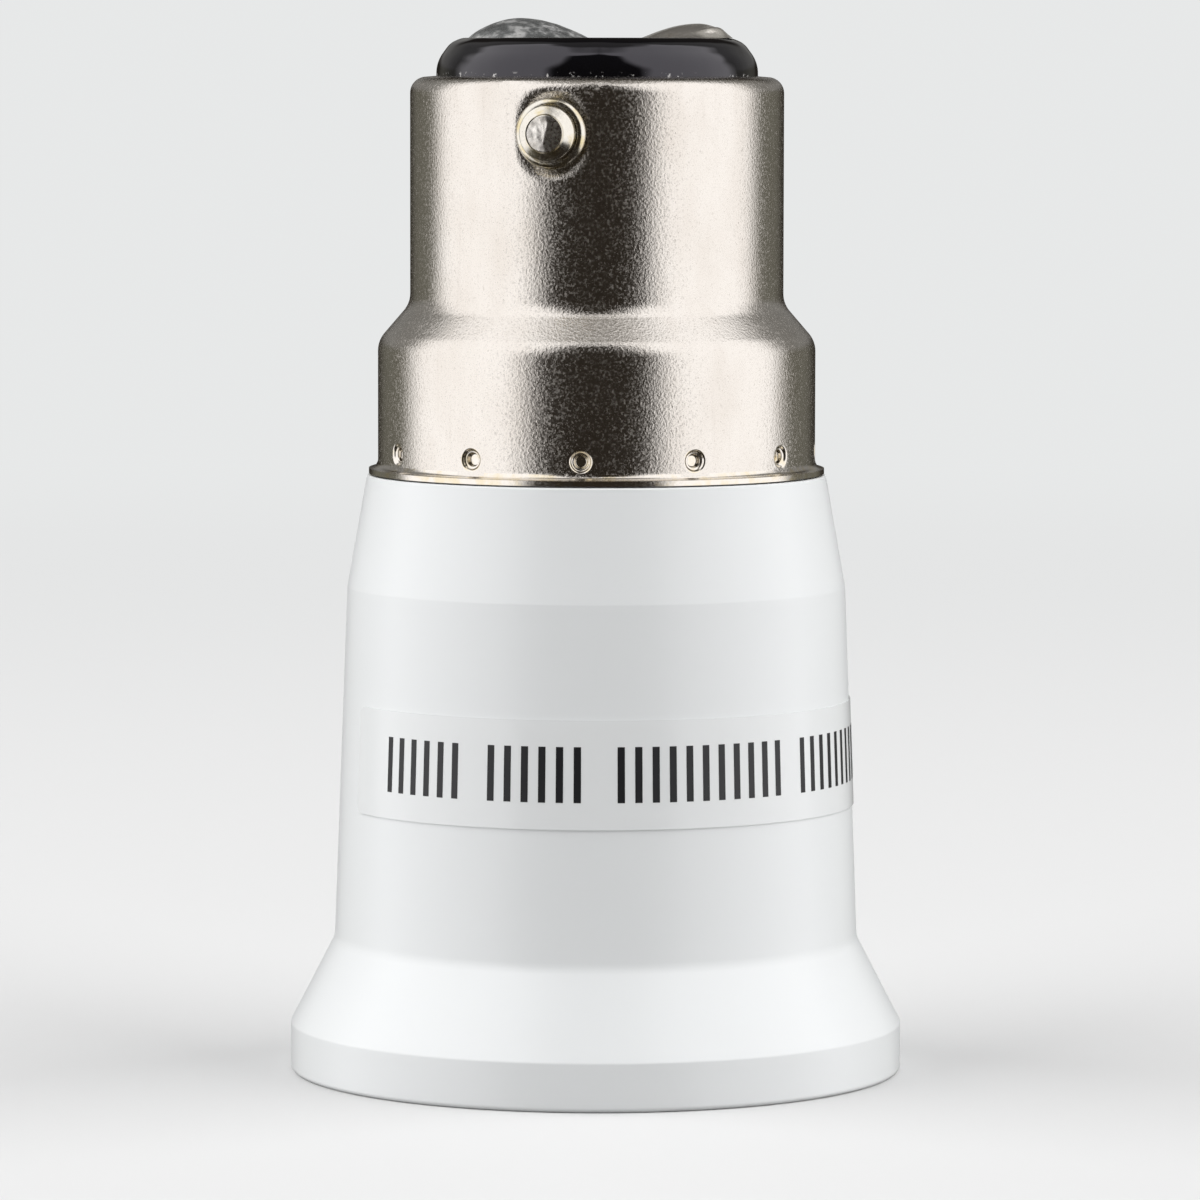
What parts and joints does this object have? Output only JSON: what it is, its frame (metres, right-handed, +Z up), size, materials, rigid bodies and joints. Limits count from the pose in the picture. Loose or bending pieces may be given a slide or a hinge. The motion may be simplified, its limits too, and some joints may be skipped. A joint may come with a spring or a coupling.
{
  "type": "lamp socket adapter",
  "caption": "Bayonet cap adapter with a white flared body that takes a screw-base lamp.",
  "frame": {"origin": "centre of the skirt's rim, on the surface that the adapter stands on", "axes": "+Z up along the adapter's axis to the cap's contacts, -Y to the front bayonet pin, X along the line of the two contacts"},
  "size_m": [0.0362, 0.0362, 0.0622],
  "materials": {
    "white_plastic": "smooth moulded, low gloss",
    "nickel_shell": "satin nickel plate with a fine grain",
    "nickel_pin": "nickel plate, worn flat at the tip",
    "black_glass": "glossy black, opaque",
    "brass": "plain pressed",
    "dull_solder": "dull tin solder",
    "bright_solder": "bright tin solder",
    "nickel_screw": "rolled sheet, nickel plate",
    "bronze_strip": "spring strip",
    "copper": "stranded wire, tinned at the ends",
    "brown_sleeve": "wire insulation",
    "blue_sleeve": "wire insulation",
    "clear_film": "clear film label, unprinted here"
  },
  "bodies": {
    "adapter": {"housing": "white_plastic", "bayonet_shell": "nickel_shell", "bayonet_pin_front": "nickel_pin", "bayonet_pin_rear": "nickel_pin", "glass_insulator": "black_glass", "contact_plate_left": "brass", "contact_plate_right": "brass", "solder_dome_left": "dull_solder", "solder_dome_right": "bright_solder", "screw_shell": "nickel_screw", "centre_rivet": "brass", "shell_rivet_front": "brass", "shell_rivet_rear": "brass", "solder_tag_live": "brass", "solder_tag_neutral": "brass", "wire_live_core": "copper", "wire_live_sleeve": "brown_sleeve", "wire_neutral_core": "copper", "wire_neutral_sleeve": "blue_sleeve", "solder_joint_live": "dull_solder", "solder_joint_neutral": "dull_solder", "label_film": "clear_film"},
    "contact": {"centre_contact": "bronze_strip"}
  },
  "joints": [
    {"name": "contact_flex", "type": "hinge", "parent": "adapter", "child": "contact", "pos_m": [0.0029, 0, 0.0282], "axis": [0, 1, 0], "range_deg": [0, 14], "stiffness_Nm_per_rad": 0.12, "deforming": ["centre_contact"]}
  ]
}
